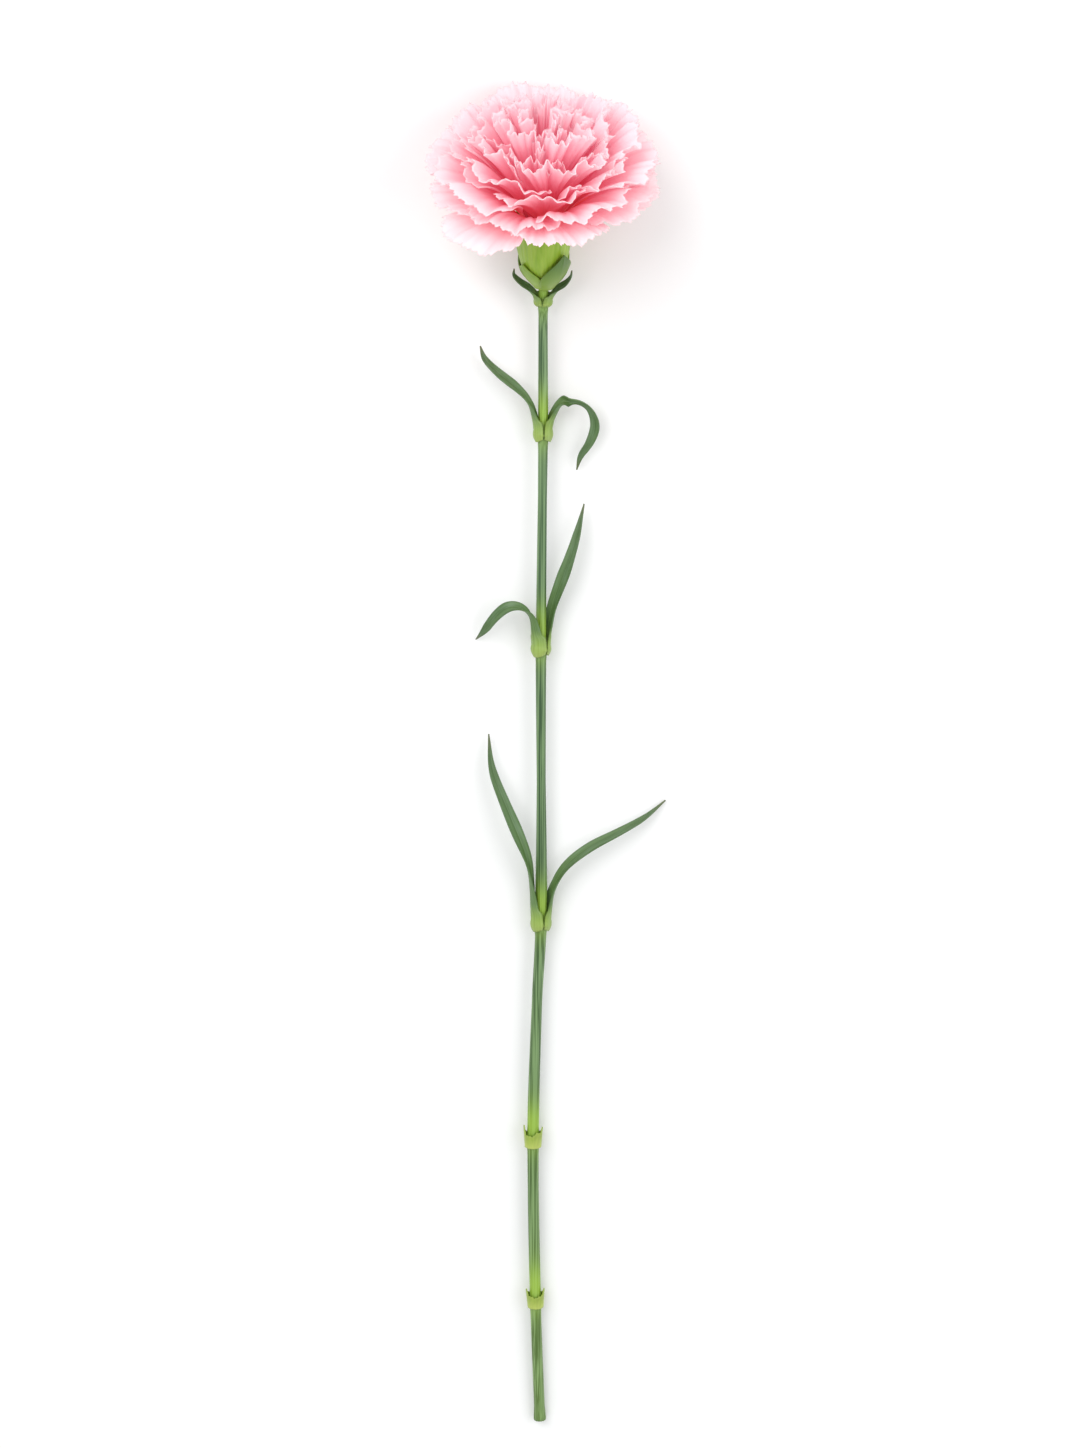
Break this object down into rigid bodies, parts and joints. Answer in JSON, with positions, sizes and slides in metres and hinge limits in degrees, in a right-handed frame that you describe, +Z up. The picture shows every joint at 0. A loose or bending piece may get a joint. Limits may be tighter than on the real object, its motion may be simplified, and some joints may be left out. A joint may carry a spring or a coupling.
{
  "type": "cut carnation",
  "caption": "Cut pink carnation with a full double bloom of fringed petals, a green calyx and a long jointed stem with narrow curved leaves, lying on its side.",
  "frame": {"origin": "middle of the lying flower's bounding box, on the surface it lies on", "axes": "+Y along the stem towards the bloom, +X to the right seen from above, +Z up"},
  "size_m": [0.0806, 0.4808, 0.061],
  "materials": {
    "stem": "waxy green skin with fine lengthwise ridges",
    "leaf": "matt blue-green with a pale waxy bloom",
    "sheath": "satin yellow-green",
    "bract": "satin mid green",
    "calyx": "satin yellow-green with fine ribs",
    "petal": "soft matt pale pink, deeper pink towards the heart"
  },
  "bodies": {
    "root": {"stem": "stem", "calyx": "calyx", "bract_inner_1": "bract", "bract_inner_2": "bract", "bract_outer_1": "bract", "bract_outer_2": "bract", "leaf_upper_left": "leaf", "leaf_upper_right": "leaf", "leaf_middle_left": "leaf", "leaf_middle_right": "leaf", "leaf_lower_left": "leaf", "leaf_lower_right": "leaf", "leaf_neck_left": "leaf", "leaf_neck_right": "leaf", "sheath_bare_node": "sheath", "sheath_lowest_node": "sheath", "petal_01": "petal", "petal_02": "petal", "petal_03": "petal", "petal_04": "petal", "petal_05": "petal", "petal_06": "petal", "petal_07": "petal", "petal_08": "petal", "petal_09": "petal", "petal_10": "petal", "petal_11": "petal", "petal_12": "petal", "petal_13": "petal", "petal_14": "petal", "petal_15": "petal", "petal_16": "petal", "petal_17": "petal", "petal_18": "petal", "petal_19": "petal", "petal_20": "petal", "petal_21": "petal", "petal_22": "petal", "petal_23": "petal", "petal_24": "petal", "petal_25": "petal", "petal_26": "petal", "petal_27": "petal", "petal_28": "petal", "petal_29": "petal", "petal_30": "petal", "petal_31": "petal", "petal_32": "petal", "petal_33": "petal", "petal_34": "petal", "petal_35": "petal", "petal_36": "petal", "petal_37": "petal", "petal_38": "petal", "petal_39": "petal", "petal_40": "petal", "petal_41": "petal", "petal_42": "petal"}
  },
  "joints": []
}
